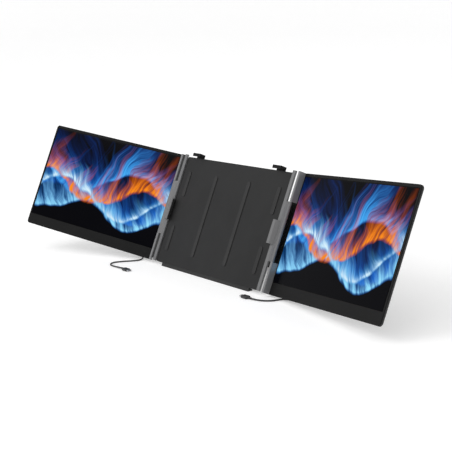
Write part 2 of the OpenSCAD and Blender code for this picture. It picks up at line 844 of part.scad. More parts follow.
module cable(side) {
    route = side == LEFT ? left_route : right_route;
    place = laptop_plugs[side == LEFT ? 0 : 1];
    relief = plug_len + relief_len;
    start = port_x - seam - relief - cable_gap;
    end = place + [side * (relief + cable_gap), 0, 0];
    path = concat(
        [monitor_point(side, [start, plug_y, port_z])],
        smooth_path(concat(
            [monitor_point(side, [start - 2, plug_y, port_z])], route,
            [end + [side * 2, 0, 0]]), 2),
        [end]);
    color(rubber_black) tube(path, cable_d / 2, 8, [0.1, 0.2, 0.97]);
}

front_plate();
back_cover();
guide_rails();
lid_pads();
desk_foot();
cover_screws();
kickstand_brackets();
kickstand_pin();
kickstand_panel();
kickstand_foot();
clip_spring(LEFT);  // left_clip_spring
clip_spring(RIGHT);  // right_clip_spring
top_clip(LEFT);  // left_top_clip
top_clip(RIGHT);  // right_top_clip
clip_pad(LEFT);  // left_clip_pad
clip_pad(RIGHT);  // right_clip_pad
arm_plate(LEFT);  // left_arm_plate
arm_plate(RIGHT);  // right_arm_plate
hinge_column(LEFT);  // left_hinge_column
hinge_column(RIGHT);  // right_hinge_column
lid_clamp(LEFT);  // left_lid_clamp
lid_clamp(RIGHT);  // right_lid_clamp
clamp_pad(LEFT);  // left_clamp_pad
clamp_pad(RIGHT);  // right_clamp_pad
hinge_pin(LEFT);  // left_hinge_pin
hinge_pin(RIGHT);  // right_hinge_pin
arm_screws(LEFT);  // left_arm_screws
arm_screws(RIGHT);  // right_arm_screws
rear_cover(LEFT);  // left_rear_cover
rear_cover(RIGHT);  // right_rear_cover
front_bezel(LEFT);  // left_front_bezel
front_bezel(RIGHT);  // right_front_bezel
display_glass(LEFT);  // left_display_glass
display_glass(RIGHT);  // right_display_glass
lcd_panel(LEFT);  // left_lcd_panel
lcd_panel(RIGHT);  // right_lcd_panel
driver_board(LEFT);  // left_driver_board
driver_board(RIGHT);  // right_driver_board
usb_port(LEFT);  // left_usb_port
usb_port(RIGHT);  // right_usb_port
upper_leaf(LEFT);  // left_upper_leaf
upper_leaf(RIGHT);  // right_upper_leaf
lower_leaf(LEFT);  // left_lower_leaf
lower_leaf(RIGHT);  // right_lower_leaf
leaf_screws(LEFT);  // left_leaf_screws
leaf_screws(RIGHT);  // right_leaf_screws
side_key(LEFT, power_z, power_len);  // left_power_button
side_key(RIGHT, power_z, power_len);  // right_power_button
side_key(LEFT, menu_z, menu_len);  // left_menu_key
side_key(RIGHT, menu_z, menu_len);  // right_menu_key
cable(LEFT);  // left_cable
cable(RIGHT);  // right_cable
monitor_plug(LEFT);  // left_monitor_plug
monitor_plug(RIGHT);  // right_monitor_plug
laptop_plug(LEFT);  // left_laptop_plug
laptop_plug(RIGHT);  // right_laptop_plug
laptop_plug_tip(LEFT);  // left_plug_tip
laptop_plug_tip(RIGHT);  // right_plug_tip
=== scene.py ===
# %% [markdown]
# # Dressing a laptop screen extender
#
# A screen extender hangs two portable monitors beside a laptop's own screen. Its bracket sits
# behind the laptop's lid, two grey metal spines slide out of it, and each spine carries a monitor
# on a long hinge. The solids come from a CAD model and already have every true size. This lesson
# gives them the surfaces that a camera sees: softened metal edges, a matt coating, glass with a
# lit picture, moulded plugs and two thin cables.
#
# Each step first says what the piece is on the real object and how it could be made.

# %% Load the solids
import math

import bmesh
import bpy
import numpy as np
from mathutils import Matrix, Vector


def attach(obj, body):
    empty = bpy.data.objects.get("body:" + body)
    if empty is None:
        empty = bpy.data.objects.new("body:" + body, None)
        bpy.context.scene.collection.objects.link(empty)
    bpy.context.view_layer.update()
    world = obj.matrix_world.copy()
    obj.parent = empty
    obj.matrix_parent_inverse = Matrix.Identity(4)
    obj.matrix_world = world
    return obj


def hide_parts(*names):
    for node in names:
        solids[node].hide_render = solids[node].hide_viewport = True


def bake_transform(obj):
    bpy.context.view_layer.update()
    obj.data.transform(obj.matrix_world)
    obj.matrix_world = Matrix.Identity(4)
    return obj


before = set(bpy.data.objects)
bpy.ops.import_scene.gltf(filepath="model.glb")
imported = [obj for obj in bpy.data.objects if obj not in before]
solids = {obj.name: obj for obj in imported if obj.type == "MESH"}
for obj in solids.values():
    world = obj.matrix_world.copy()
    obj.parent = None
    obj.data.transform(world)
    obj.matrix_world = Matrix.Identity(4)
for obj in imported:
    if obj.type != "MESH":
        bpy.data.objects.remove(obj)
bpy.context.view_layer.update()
MM = 0.001
SIDES = ("left", "right")

# %% [markdown]
# ## The camera
#
# A wide product is best seen from well back through a long lens, so that its parts keep their
# proportions. The camera here is set by its direction, its place and a small roll. Its axes are
# worked out as three vectors, which is plainer than three Euler angles when there is a roll.

# %% Camera
CAMERA_PLACE = Vector((1.88510, -1.16101, 0.59752))
CAMERA_AZIMUTH, CAMERA_ELEVATION, CAMERA_ROLL = (math.radians(v) for v in (56.995, 12.776, 5.913))
CAMERA_LENS, SENSOR_WIDTH = 96.25, 36
NEAREST, FARTHEST = 0.05, 50

backward = Vector((
    math.sin(CAMERA_AZIMUTH) * math.cos(CAMERA_ELEVATION),
    -math.cos(CAMERA_AZIMUTH) * math.cos(CAMERA_ELEVATION),
    math.sin(CAMERA_ELEVATION)))
level_right = Vector((0, 0, 1)).cross(backward).normalized()
level_up = backward.cross(level_right)
right = math.cos(CAMERA_ROLL) * level_right - math.sin(CAMERA_ROLL) * level_up
up = backward.cross(right)

camera_data = bpy.data.cameras.new("camera")
camera_data.lens = CAMERA_LENS
camera_data.sensor_width = SENSOR_WIDTH
camera_data.clip_start, camera_data.clip_end = NEAREST, FARTHEST
camera = bpy.data.objects.new("camera", camera_data)
bpy.context.collection.objects.link(camera)
camera.matrix_world = Matrix((
    (right.x, up.x, backward.x, CAMERA_PLACE.x),
    (right.y, up.y, backward.y, CAMERA_PLACE.y),
    (right.z, up.z, backward.z, CAMERA_PLACE.z),
    (0, 0, 0, 1)))
bpy.context.scene.camera = camera
print("camera looks along", tuple(round(-v, 3) for v in backward))

# %% [markdown]
# ## Frames
#
# The bracket leans back with the laptop's lid, and each monitor is swung towards the user from it.
# Every piece is measured where it is easy to think about, such as across the screen from its inner
# edge, and a matrix carries it to the desk. The matrices are built from the same few numbers as the
# solids.

# %% Frames of the bracket and the monitors
# In millimetres. A hinge's axis stands forward of the bracket. Its monitor begins an edge gap
# beside that axis, with its face a drop behind it.
TILT = math.radians(28)
PLATE_LIFT = 4.5
MONITOR_W, MONITOR_H = 354.0, 224.0
MONITOR_LIFT = 1.0
SIGN = {"left": -1, "right": 1}
HINGE_X = {"left": 193.0, "right": 201.5}
HINGE_FORWARD = {"left": 2.5, "right": 6.4}
HINGE_BARREL_R = 2.8
EDGE_GAP = {"left": 4.0, "right": 0.0}
SCREEN_DROP = {"left": 7.0, "right": 10.9}
SWING = {"left": math.radians(21), "right": math.radians(8.5)}

PLATE = Matrix.Translation((0, 0, PLATE_LIFT)) @ Matrix.Rotation(-TILT, 4, "X")


def moved(points, matrix):
    """Points in millimetres, as an (n, 3) array, put through a 4 by 4 matrix and into metres."""
    points = np.asarray(points, float)
    m = np.array(matrix)
    return (points @ m[:3, :3].T + m[:3, 3]) * MM


def monitor_matrix(side):
    """Monitor frame to desk: x along the width from the inner edge, y back from the face, z up."""
    return (PLATE @ Matrix.Diagonal((SIGN[side], 1, 1, 1))
            @ Matrix.Translation((HINGE_X[side], -HINGE_FORWARD[side], MONITOR_LIFT))
            @ Matrix.Rotation(-SWING[side], 4, "Z")
            @ Matrix.Translation((EDGE_GAP[side], SCREEN_DROP[side], 0)))


MONITOR = {side: monitor_matrix(side) for side in SIDES}
for side in SIDES:
    print(side, "outer top corner", moved([[MONITOR_W, 0, MONITOR_H]], MONITOR[side]).round(4)[0])

# %% [markdown]
# ## A surface as a grid
#
# Most new pieces here are one idea: a function of two parameters, worked out on a grid of points.
# Neighbouring points make the faces. A grid can close on itself round one way, like a tube, and its
# ends can be capped with one face each. The whole grid is computed at once with arrays.

# %% Grid meshes
MERGE_WITHIN = 1e-7
SHARP_ABOVE = 35


def grid_faces(rows, columns, close_columns):
    """Quads between neighbours of a grid whose points are stored row by row."""
    last = columns if close_columns else columns - 1
    r, c = np.meshgrid(np.arange(rows - 1), np.arange(last), indexing="ij")
    row, next_row, next_column = r * columns, (r + 1) * columns, (c + 1) % columns
    corners = row + c, row + next_column, next_row + next_column, next_row + c
    return np.stack(corners, axis=-1).reshape(-1, 4)


def make_piece(name, points, faces, caps=(), sharp_above=SHARP_ABOVE):
    """One mesh object from points in metres, quads and end caps, with its faces turned outwards."""
    mesh = bpy.data.meshes.new(name)
    polygons = [list(face) for face in faces] + [list(cap) for cap in caps]
    mesh.from_pydata(np.asarray(points).tolist(), [], polygons)
    bm = bmesh.new()
    bm.from_mesh(mesh)
    bmesh.ops.remove_doubles(bm, verts=bm.verts, dist=MERGE_WITHIN)
    bmesh.ops.recalc_face_normals(bm, faces=bm.faces)
    bm.to_mesh(mesh)
    bm.free()
    mesh.shade_smooth()
    mesh.set_sharp_from_angle(angle=math.radians(sharp_above))
    piece = bpy.data.objects.new(name, mesh)
    bpy.context.collection.objects.link(piece)
    return piece


def closed_loft(name, sections, matrix, **looks):
    """A closed skin over a stack of sections, rings of as many points each, capped at both ends."""
    sections = np.asarray(sections, float)
    rows, columns = sections.shape[:2]
    caps = [range(columns), range((rows - 1) * columns, rows * columns)]
    points = moved(sections.reshape(-1, 3), matrix)
    return make_piece(name, points, grid_faces(rows, columns, True), caps, **looks)


print("an open grid of 3 by 4 points has", len(grid_faces(3, 4, False)), "faces")

# %% [markdown]
# Each new piece tells the frame up to two things: which moving body carries it, and which solid it
# stands for. One helper keeps them together.

# %% Join the frame


def join_frame(piece, body=None, stands_for=None):
    """Hangs a piece on the body that it rides on and hides the solid that it replaces."""
    if stands_for:
        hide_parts(stands_for)
    if body:
        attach(piece, body)
    return piece


# %% [markdown]
# ## The cables
#
# Two short USB-C cables run from the monitors to the laptop. Each leaves its plug in a bay behind
# the monitor, drops to the desk, lies there in a slack loop that the monitor hides, and comes out
# under the monitor's bottom edge towards the laptop. So its route is a few points in millimetres,
# most of them on the desk.

# %% Cable routes
CABLE_D = 3.0
PLUG_END = (43.9, 4.3, 10.5)
LAPTOP_PLUG = {"left": (-172, -66, 2.6), "right": (172, -28, 2.6)}
PLUG_REACH = 26
CABLE_GAP = 0.02
ROUTE = {
    "left": [
        (-236, -1, 16.5), (-233, 1, 12), (-231, 6, 7), (-233, 15, 3), (-240, 28, 2),
        (-254, 38, 1.8), (-272, 38, 1.8), (-280, 26, 1.8), (-270, 16, 1.8), (-253, 12, 1.8),
        (-236, 6, 1.8), (-225, -7, 1.8), (-232, -21, 1.8), (-246, -36, 1.8), (-255, -52, 1.8),
        (-249, -63, 1.8), (-236, -67, 1.8), (-220, -67, 2.2)],
    "right": [
        (241, 9, 12.5), (237, 11.5, 9), (234, 17, 5), (238, 28, 2.5), (248, 42, 1.8),
        (265, 55, 1.8), (288, 59, 1.8), (307, 50, 1.8), (311, 35, 1.8), (300, 23, 1.8),
        (282, 17, 1.8), (267, 14, 1.8), (253, 10, 1.8), (244, 3.5, 1.8), (239.5, -5.5, 1.8),
        (233, -14.5, 1.8), (222, -21.5, 1.8), (210, -26, 2.2)]}
print("points on a route:", {side: len(ROUTE[side]) for side in SIDES})

# %% [markdown]
# A cable is stiff enough to keep smooth bends, so its line is a spline. A Catmull-Rom spline goes
# through every point that it is given and needs no handles, and as an array it can be measured.

# %% A smooth line
STRAIGHT = 2
SPLINE_STEPS = 6


def spline(points, steps):
    """A Catmull-Rom curve: it leaves each point along the line between that point's neighbours."""
    p = np.asarray(points, float)
    p = np.vstack([p[:1], p, p[-1:]])
    t = (np.arange(steps) / steps)[None, :, None]
    a, b, c, d = (p[i:len(p) - 3 + i, None, :] for i in range(4))
    curve = 0.5 * (2 * b + (c - a) * t + (2 * a - 5 * b + 4 * c - d) * t ** 2
                   + (3 * b - a - 3 * c + d) * t ** 3)
    return np.vstack([curve.reshape(-1, 3), p[-1:]])


def cable_line(side):
    """The cable's centreline in metres, straight where it leaves the two plugs."""
    inside_plug = (PLUG_END[0] - STRAIGHT, *PLUG_END[1:])
    start = moved([PLUG_END, inside_plug], MONITOR[side]) / MM
    x, y, z = LAPTOP_PLUG[side]
    end = np.array([x + SIGN[side] * (PLUG_REACH + CABLE_GAP), y, z])
    bend = spline([start[1], *ROUTE[side], end + (SIGN[side] * STRAIGHT, 0, 0)], SPLINE_STEPS)
    return np.vstack([start[:1], bend, end]) * MM


cable_lines = {side: cable_line(side) for side in SIDES}
print("points on a line:", {side: len(cable_lines[side]) for side in SIDES})

# %% [markdown]
# The cable itself is a tube: a ring of points carried along the line. Each ring needs two
# directions square to the line. The first is square to a fixed direction too, one that no cable
# or wire runs along, so the rings never twist.

# %% A tube along a line
NEVER_ALONG = (0.1, 0.2, 0.97)


def ring_frames(line):
    """Unit vectors across and over a line at each point, square to its direction."""
    along = np.gradient(line, axis=0)
    along /= np.linalg.norm(along, axis=1, keepdims=True)
    across = np.cross(along, NEVER_ALONG)
    across /= np.linalg.norm(across, axis=1, keepdims=True)
    return across, np.cross(across, along)


def tube(name, line, radius, around=16):
    """A ring of points, cos by across plus sin by over, carried along a line and capped."""
    across, over = ring_frames(line)
    a = np.linspace(0, 2 * math.pi, around, endpoint=False)[None, :, None]
    rings = line[:, None, :] + radius * (np.cos(a) * across[:, None] + np.sin(a) * over[:, None])
    caps = [range(around), range((len(line) - 1) * around, len(line) * around)]
    return make_piece(name, rings.reshape(-1, 3), grid_faces(len(line), around, True), caps)


cables = {}
for side in SIDES:
    cable = tube(f"{side}_usb_cable", cable_lines[side], CABLE_D / 2 * MM)
    cables[side] = join_frame(cable, stands_for=f"{side}_cable")
    print(cable.name, "has", len(cable.data.polygons), "faces")

# %% [markdown]
# ## Plugs
#
# A USB-C plug is a soft moulding over a metal shell. Both are long pieces whose outline changes
# from place to place, so both are lofts over flat outlines. Two outlines do: a superellipse, which
# goes from a circle to a rounded bar with its power, and a stadium, a bar with round ends.

# %% Outlines
PLUG_LEN, RELIEF_LEN = 19.0, 7.0
PLUG_THICK, PLUG_WIDE = 4.8, 10.8
RELIEF_R = 2.1
ROUND = 2


def superellipse(half_y, half_z, power, count=40):
    """Points where |y / half_y| to the power plus |z / half_z| to the power is one."""
    a = np.linspace(0, 2 * math.pi, count, endpoint=False)
    c, s = np.cos(a), np.sin(a)
    return np.stack([half_y * np.sign(c) * np.abs(c) ** (2 / power),
                     half_z * np.sign(s) * np.abs(s) ** (2 / power)], axis=-1)


def stadium(thick, wide, count=40):
    """A bar with round ends: a circle's points, with each half moved out along z."""
    a = np.linspace(0, 2 * math.pi, count, endpoint=False) + math.pi / count
    r = thick / 2
    return np.stack([r * np.cos(a), r * np.sin(a) + np.sign(np.sin(a)) * (wide / 2 - r)], axis=-1)


def placed_sections(profiles, stations):
    """Rings in x, y, z from flat rings in y, z and a station along x for each."""
    return np.stack([np.column_stack([np.full(len(p), x), p]) for p, x in zip(profiles, stations)])


print("plug and relief", PLUG_LEN + RELIEF_LEN, "by", PLUG_WIDE, "by", PLUG_THICK, "mm")

# %% [markdown]
# The moulding is a nose with a small round, a straight grip, a shoulder that narrows to the cord,
# and a relief whose ribs let it bend. A table gives the nose and one rib.

# %% Plug moulding
# Distance behind the front, share of the full size, power of the superellipse.
NOSE = [(0.02, 0.90, 4.0), (0.15, 0.95, 4.0), (0.5, 0.99, 4.0), (1.0, 1.0, 4.2)]
GRIP_PLACES, GRIP_POWER = (3, 6, 9, 12, 15), 4.2
SHOULDER_STEPS = 6
RELIEF_RIBS, RIB_DEPTH, RELIEF_TAPER, RELIEF_END = 5, 0.28, 0.25, 0.3
# Share of a rib's length, and how deep the surface lies there.
RIB = ((0.15, 0), (0.3, RIB_DEPTH), (0.7, RIB_DEPTH), (0.85, 0))


def plug_moulding(name, matrix):
    """A loft backwards from the front: the nose, the grip, the shoulder and the ribbed relief.

    Along the shoulder, size and power ease from the grip's to a circle's by 3 s squared less 2 s
    cubed. Along the relief the radius steps in and out at each rib and tapers a little.
    """
    y, z = PLUG_THICK / 2, PLUG_WIDE / 2
    grip_end = GRIP_PLACES[-1]
    front = NOSE + [(place, 1.0, GRIP_POWER) for place in GRIP_PLACES]
    stations = [-place for place, _, _ in front]
    profiles = [superellipse(y * share, z * share, power) for _, share, power in front]
    for s in np.linspace(0, 1, SHOULDER_STEPS + 1)[1:]:
        ease = s * s * (3 - 2 * s)
        half_y = y + (RELIEF_R - y) * ease
        half_z = z + (RELIEF_R - z) * ease
        profiles.append(superellipse(half_y, half_z, GRIP_POWER + (ROUND - GRIP_POWER) * ease))
        stations.append(-grip_end - (PLUG_LEN - grip_end) * s)
    for i in range(RELIEF_RIBS):
        for part, depth in RIB:
            r = RELIEF_R - depth - RELIEF_TAPER * (i + part) / RELIEF_RIBS
            profiles.append(superellipse(r, r, ROUND))
            stations.append(-PLUG_LEN - RELIEF_LEN * (i + part) / RELIEF_RIBS)
    profiles.append(superellipse(RELIEF_R - RELIEF_END, RELIEF_R - RELIEF_END, ROUND))
    stations.append(-PLUG_LEN - RELIEF_LEN)
    return closed_loft(name, placed_sections(profiles, stations), matrix)


print("a moulding has", RELIEF_RIBS, "ribs")

# %% [markdown]
# The shell is thin and hollow. Its loft goes out along the outside, over the lip, and comes back
# along the inside to a floor, so that it is one closed skin with a true wall.

# %% Plug shell
SHELL_THICK, SHELL_WIDE, SHELL_LEN = 2.4, 8.25, 6.5
SHELL_WALL, SHELL_LIP, SHELL_FLOOR = 0.3, 0.15, 0.8


def plug_shell(name, matrix):
    """A loft of stadiums: the outside, half a wall in at the lip, a wall in along the inside."""
    outer, middle, inner = ((SHELL_THICK - k * SHELL_WALL, SHELL_WIDE - k * SHELL_WALL)
                            for k in (0, 1, 2))
    rings = [(0, outer), (SHELL_LEN - SHELL_LIP, outer), (SHELL_LEN, middle),
             (SHELL_LEN - SHELL_LIP, inner), (SHELL_FLOOR, inner)]
    profiles = [stadium(*size) for _, size in rings]
    return closed_loft(name, placed_sections(profiles, [x for x, _ in rings]), matrix)


print("shell", SHELL_LEN, "by", SHELL_WIDE, "by", SHELL_THICK, "mm")

# %% [markdown]
# Each cable has a plug at both ends. The one in the monitor's bay is turned with the monitor. The
# one for the laptop lies on the desk and points inwards.

# %% Make the plugs
PORT_PLACE = (69.9, 4.3, 10.5)
POINTS_INWARDS = {"left": 0, "right": math.pi}

for side in SIDES:
    at_monitor = MONITOR[side] @ Matrix.Translation(PORT_PLACE)
    at_laptop = (Matrix.Translation(LAPTOP_PLUG[side])
                 @ Matrix.Rotation(POINTS_INWARDS[side], 4, "Z")
                 @ Matrix.Rotation(math.pi / 2, 4, "X"))
    join_frame(plug_moulding(f"{side}_plug_moulding", at_monitor),
               f"{side}_monitor", f"{side}_monitor_plug")
    join_frame(plug_shell(f"{side}_plug_shell", at_monitor), f"{side}_monitor")
    join_frame(plug_moulding(f"{side}_laptop_moulding", at_laptop),
               f"{side}_arm", f"{side}_laptop_plug")
    join_frame(plug_shell(f"{side}_laptop_shell", at_laptop),
               f"{side}_arm", f"{side}_plug_tip")
    print(side, "plugs made")

# %% [markdown]
# ## The cables in place
#
# A cable crosses the monitor's hinge: its plug swings with the monitor, while its other end stays
# with the laptop. Here each cable is one fixed piece, with its placement baked into its points.

for side in SIDES:
    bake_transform(cables[side])

# %% [markdown]
# ## Building a material from nodes
#
# A material here is a graph, and a graph is quicker to read when each node is one line. The helpers
# below make a node, set its options and either fill in or link each input.

# %% Node helpers


def feed(tree, socket, value):
    """Links another node's output to a socket, or fills the socket with a plain value."""
    if isinstance(value, bpy.types.NodeSocket):
        tree.links.new(value, socket)
    else:
        socket.default_value = value


def add(tree, kind, inputs=None, **settings):
    """One node of a tree, with its options set and each input fed by name or number."""
    made = tree.nodes.new("ShaderNode" + kind)
    for key, value in settings.items():
        setattr(made, key, value)
    for key, value in (inputs or {}).items():
        feed(tree, made.inputs[key], value)
    return made


def calc(tree, operation, *values):
    """One Math node, with up to three values."""
    return add(tree, "Math", dict(enumerate(values)), operation=operation).outputs[0]


def calc_vector(tree, operation, a, b):
    """One Vector Math node, with two vectors."""
    return add(tree, "VectorMath", {0: a, 1: b}, operation=operation).outputs[0]


def mix(tree, factor, a, b):
    """A colour between two, by a factor."""
    made = add(tree, "Mix", data_type="RGBA")
    sockets = {s.identifier: s for s in made.inputs}
    for key, value in (("Factor_Float", factor), ("A_Color", a), ("B_Color", b)):
        feed(tree, sockets[key], value)
    return next(s for s in made.outputs if s.identifier == "Result_Color")


def spread(tree, value, low, high, to_low=0.0, to_high=1.0):
    """A value between two limits carried onto a new range, and held there."""
    return add(tree, "MapRange", {0: value, 1: low, 2: high, 3: to_low, 4: to_high}).outputs[0]


def object_place(tree):
    """Object coordinates: a point's own place on its piece, in metres."""
    return add(tree, "TexCoord").outputs["Object"]


def new_material(name):
    """A new material with its tree and its Principled surface node."""
    material = bpy.data.materials.new(name)
    material.use_nodes = True
    tree = material.node_tree
    return material, tree, next(n for n in tree.nodes if n.type == "BSDF_PRINCIPLED")


# %% [markdown]
# ## Effects shared by several finishes
#
# Powder coating, anodised metal and moulded plastic all have the same three small effects in
# different strengths: a fine grain that breaks up a highlight, slow changes from handling, and a
# drawn direction where metal was brushed or extruded. Each is a node group, made once, with the
# place to look at and its scale as inputs. First comes the grain.

# %% Fine grain
COARSE_SHARE, FINE_SHARE = 0.7, 0.3
FINER_BY = 3.0


def new_group(name, inputs, outputs):
    """An empty shader group with named inputs, each with its default, and named outputs."""
    group = bpy.data.node_groups.new(name, "ShaderNodeTree")
    for label, (kind, value) in inputs.items():
        socket = group.interface.new_socket(label, in_out="INPUT", socket_type="NodeSocket" + kind)
        if value is not None:
            socket.default_value = value
    for label, kind in outputs.items():
        group.interface.new_socket(label, in_out="OUTPUT", socket_type="NodeSocket" + kind)
    given = group.nodes.new("NodeGroupInput").outputs
    return group, given, group.nodes.new("NodeGroupOutput").inputs


def use_group(tree, group, inputs):
    """A group placed in a tree, with its inputs fed. Gives its outputs."""
    return add(tree, "Group", inputs, node_tree=group).outputs


def grain_group():
    """Fine speckle: noise at one scale and at three times that scale, as a height and a mask."""
    group, given, out = new_group(
        "fine_grain", {"Place": ("Vector", None), "Scale": ("Float", 2500.0)},
        {"Height": "Float", "Mask": "Float"})
    coarse = add(group, "TexNoise", {"Vector": given["Place"], "Scale": given["Scale"],
                                     "Detail": 2.0, "Roughness": 0.6}).outputs[0]
    finer = calc(group, "MULTIPLY", given["Scale"], FINER_BY)
    fine = add(group, "TexNoise", {"Vector": given["Place"], "Scale": finer,
                                   "Detail": 1.0}).outputs[0]
    height = calc(group, "ADD", calc(group, "MULTIPLY", coarse, COARSE_SHARE),
                  calc(group, "MULTIPLY", fine, FINE_SHARE))
    group.links.new(height, out["Height"])
    group.links.new(spread(group, height, 0.35, 0.65), out["Mask"])
    return group


GRAIN = grain_group()
print(GRAIN.name, "has", len(GRAIN.nodes), "nodes")

# %% [markdown]
# Hands and cloths leave wide, soft blotches, a few centimetres across. One noise makes them, with
# its place stirred a little so that they don't look round.

# %% Handling


def handling_group():
    """Slow blotches: one distorted noise, with its middle values spread into a mask."""
    group, given, out = new_group(
        "handling", {"Place": ("Vector", None), "Scale": ("Float", 14.0)}, {"Mask": "Float"})
    wide = add(group, "TexNoise", {"Vector": given["Place"], "Scale": given["Scale"], "Detail": 4.0,
                                   "Roughness": 0.55, "Distortion": 0.6}).outputs[0]
    group.links.new(spread(group, wide, 0.38, 0.68), out["Mask"])
    return group


HANDLING = handling_group()
print(HANDLING.name, "has", len(HANDLING.nodes), "nodes")

# %% [markdown]
# Brushing leaves hairlines. A noise whose place hardly changes along one axis is stretched into
# lines along it.

# %% Drawn lines


def drawn_group():
    """Hairlines along one axis: noise whose place is squeezed hard along that axis."""
    group, given, out = new_group(
        "drawn_lines", {"Place": ("Vector", None), "Along": ("Vector", (1, 1, 0.01)),
                        "Scale": ("Float", 1800.0)}, {"Height": "Float", "Mask": "Float"})
    squeezed = calc_vector(group, "MULTIPLY", given["Place"], given["Along"])
    lines = add(group, "TexNoise", {"Vector": squeezed, "Scale": given["Scale"], "Detail": 3.0,
                                    "Roughness": 0.7}).outputs[0]
    group.links.new(lines, out["Height"])
    group.links.new(spread(group, lines, 0.3, 0.7), out["Mask"])
    return group


DRAWN = drawn_group()
print(DRAWN.name, "has", len(DRAWN.nodes), "nodes")

# %% [markdown]
# ## Finishes
#
# Most of this object is coated or anodised metal. One recipe covers them: a base colour that
# handling darkens a little, a roughness that the grain varies, and a bump far smaller than a
# millimetre. Brushed parts take their bump from drawn lines instead.

# %% The recipe of a finish
ROUGH_VARIES, HANDLED_ROUGHER, HANDLED_DARKER = 0.05, 0.06, 0.25
BUMP_STRENGTH = 0.35
COOL = 1.02


def grey(level):
    """A grey with a touch of blue, as neutral coatings have."""
    return (level, level, level * COOL, 1.0)


def finish(name, colour, roughness, metallic=0.0, grain=2500.0, bump=0.02, vary=0.12, drawn=None,
           specular=0.5):
    """A solid finish. drawn is the squeeze along each axis of its brushing, if it is brushed.

    The colour goes from its own less a share to its own plus that share, by the mask of the grain
    or the lines, and a quarter of the way back to dark where it was handled.
    """
    material, tree, surface = new_material(name)
    place = object_place(tree)
    texture = use_group(tree, GRAIN, {"Place": place, "Scale": grain})
    if drawn:
        texture = use_group(tree, DRAWN, {"Place": place, "Along": drawn})
    touched = use_group(tree, HANDLING, {"Place": place})["Mask"]
    dark = tuple(v * (1 - vary) for v in colour[:3]) + (1,)
    light = tuple(min(1, v * (1 + vary)) for v in colour[:3]) + (1,)
    toned = mix(tree, texture["Mask"], dark, light)
    worn = mix(tree, calc(tree, "MULTIPLY", touched, HANDLED_DARKER), toned, dark)
    limits = roughness - ROUGH_VARIES, roughness + ROUGH_VARIES
    rough = calc(tree, "ADD", spread(tree, texture["Mask"], 0, 1, *limits),
                 calc(tree, "MULTIPLY", touched, HANDLED_ROUGHER))
    bumped = add(tree, "Bump", {"Strength": BUMP_STRENGTH, "Distance": bump * MM,
                                "Height": texture["Height"]}).outputs[0]
    for socket, value in (("Base Color", worn), ("Roughness", rough), ("Normal", bumped),
                          ("Metallic", metallic), ("Specular IOR Level", specular)):
        feed(tree, surface.inputs[socket], value)
    material.diffuse_color = colour
    return material


print("a finish varies its roughness by", ROUGH_VARIES, "each way")

# %% [markdown]
# The table of finishes goes from the charcoal coat of the housings to the green of the boards. The
# greys are low, because matt coatings scatter white light from the whole room and look lighter than
# they are.

# %% The finishes
FINISH = {
    "charcoal_coat": finish("charcoal_coat", grey(0.008), 0.6, grain=3500, bump=0.03, specular=0.1),
    "spine_alloy": finish("spine_alloy", grey(0.17), 0.48, metallic=0.35, drawn=(1, 1, 0.02),
                          bump=0.012, specular=0.35),
    "leaf_alloy": finish("leaf_alloy", grey(0.235), 0.48, metallic=0.35, drawn=(1, 1, 0.02),
                         bump=0.012, specular=0.35),
    "dark_alloy": finish("dark_alloy", grey(0.017), 0.48, metallic=0.3, grain=4200, bump=0.02,
                         specular=0.2),
    "rear_alloy": finish("rear_alloy", grey(0.024), 0.42, metallic=0.5, grain=4200, bump=0.02,
                         specular=0.4),
    "steel": finish("steel", grey(0.55), 0.28, metallic=1.0, drawn=(0.02, 1, 1), bump=0.008),
    "screw_steel": finish("screw_steel", grey(0.30), 0.30, metallic=1.0, grain=6000, bump=0.005),
    "rail_plastic": finish("rail_plastic", grey(0.02), 0.5, grain=3000, bump=0.03),
    "key_plastic": finish("key_plastic", grey(0.014), 0.42, grain=5000, bump=0.01),
    "silicone": finish("silicone", grey(0.012), 0.72, grain=1800, bump=0.05, vary=0.2),
    "cable_jacket": finish("cable_jacket", grey(0.012), 0.45, grain=2600, bump=0.03, vary=0.15),
    "board": finish("board", (0.01, 0.09, 0.05, 1), 0.35, grain=1500, bump=0.02, vary=0.25),
    "panel_metal": finish("panel_metal", grey(0.40), 0.4, metallic=1.0, grain=900, bump=0.02)}
print("finishes:", ", ".join(FINISH))


def dress(piece, material):
    """Gives a piece one finish in place of all that it had."""
    piece.data.materials.clear()
    piece.data.materials.append(material)
    return piece


# %% [markdown]
# ## Soft edges on the metal
#
# No machined or moulded edge is razor sharp: a small round catches a thin line of light, and that
# line is most of what makes metal look solid. Rounding every edge by hand would be slow, so each
# solid is copied, its triangles are joined back into flat faces, and a Bevel modifier rounds what
# meets at an angle.

# %% A solid with soft edges
SAME_POINT = 2e-6
FLAT_WITHIN, EDGE_ABOVE = math.radians(0.5), math.radians(32)
ROUND_SEGMENTS = 3


def softened(node, body, name, slot, width):
    """A copy of a solid with its sharp edges rounded to a width in millimetres, in a finish."""
    mesh = solids[node].data.copy()
    bm = bmesh.new()
    bm.from_mesh(mesh)
    bmesh.ops.remove_doubles(bm, verts=bm.verts, dist=SAME_POINT)
    bmesh.ops.dissolve_limit(bm, angle_limit=FLAT_WITHIN, verts=bm.verts, edges=bm.edges)
    bm.to_mesh(mesh)
    bm.free()
    mesh.shade_smooth()
    mesh.set_sharp_from_angle(angle=EDGE_ABOVE)
    piece = bpy.data.objects.new(node + "_piece", mesh)
    bpy.context.collection.objects.link(piece)
    rounding = piece.modifiers.new("round edges", "BEVEL")
    rounding.width = width * MM
    rounding.segments = ROUND_SEGMENTS
    rounding.limit_method = "ANGLE"
    rounding.angle_limit = EDGE_ABOVE
    rounding.harden_normals = True
    rounding.use_clamp_overlap = True
    return join_frame(dress(piece, FINISH[name]), body, node)


print("edges over", round(math.degrees(EDGE_ABOVE)), "degrees get", ROUND_SEGMENTS, "segments")

